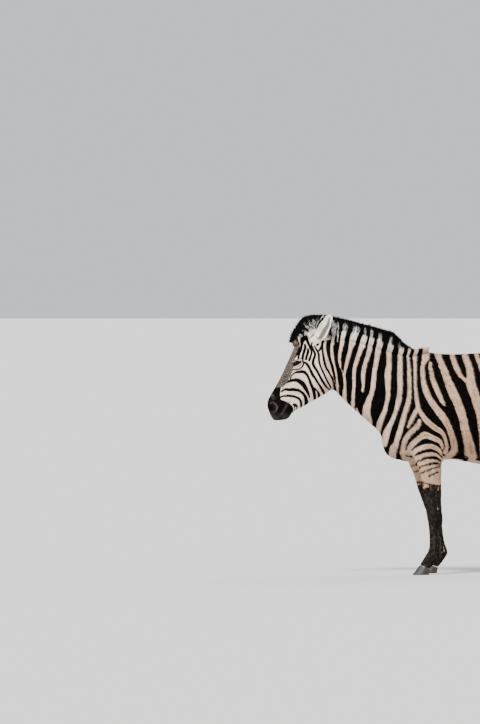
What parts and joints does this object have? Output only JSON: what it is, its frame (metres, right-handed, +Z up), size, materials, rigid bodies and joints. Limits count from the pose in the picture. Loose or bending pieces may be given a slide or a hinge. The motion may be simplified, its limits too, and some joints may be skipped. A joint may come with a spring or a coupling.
{
  "type": "plains zebra",
  "caption": "Life-size standing zebra in its natural stance, head low and turned forward, resting on its hooves; a still museum model.",
  "frame": {"origin": "on the floor, under the middle of the animal's length and width", "axes": "+Z up, the animal faces -Y, its left side is +X"},
  "size_m": [0.5314, 2.1056, 1.5222],
  "materials": {
    "coat": "short flat hair, black stripes on cream, dusty, dark mud on the lower legs",
    "long_hair": "upright striped mane with black tips, dark tail hair",
    "eye": "wet dark brown, glossy",
    "hoof": "dark horn, muddy, dull"
  },
  "bodies": {
    "root": {"head": "coat", "neck": "coat", "forequarters": "coat", "barrel": "coat", "hindquarters": "coat", "forearm_left": "coat", "forearm_right": "coat", "fore_cannon_left": "coat", "fore_cannon_right": "coat", "fore_pastern_left": "coat", "fore_pastern_right": "coat", "gaskin_left": "coat", "gaskin_right": "coat", "hind_cannon_left": "coat", "hind_cannon_right": "coat", "hind_pastern_left": "coat", "hind_pastern_right": "coat", "ear_left": "coat", "ear_right": "coat", "tail_dock": "coat", "forelock": "long_hair", "mane": "long_hair", "tail_tuft": "long_hair", "eye_left": "eye", "eye_right": "eye", "fore_hoof_left": "hoof", "fore_hoof_right": "hoof", "hind_hoof_left": "hoof", "hind_hoof_right": "hoof"}
  },
  "joints": []
}
